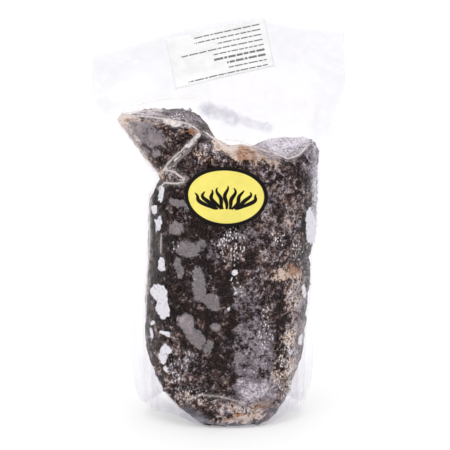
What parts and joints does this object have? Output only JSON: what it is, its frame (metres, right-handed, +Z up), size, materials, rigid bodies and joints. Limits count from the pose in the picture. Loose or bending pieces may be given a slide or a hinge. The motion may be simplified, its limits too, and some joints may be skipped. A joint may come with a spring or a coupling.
{
  "type": "pouch of frozen mozuku seaweed",
  "caption": "Block of matted brown thread seaweed, frozen in a clear stand-up pouch with a bottom gusset, an oval label on the front and a plain white label above.",
  "frame": {"origin": "middle of the base, under the whole object's box", "axes": "+Z up, from the gusset to the pouch's top seal; -Y towards the front with the oval label; +X to the right seen from the front"},
  "size_m": [0.1552, 0.0822, 0.248],
  "materials": {
    "seaweed": "matted brown threads frozen in juice, wet sheen, patches of grey frost",
    "film": "clear soft plastic film, glossy, finely creased",
    "label_yellow": "satin coated paper with a black rim",
    "label_white": "satin white paper"
  },
  "bodies": {
    "root": {"seaweed_block": "seaweed", "film_front": "film", "film_back": "film", "film_gusset": "film", "oval_label": "label_yellow", "note_label": "label_white"}
  },
  "joints": []
}
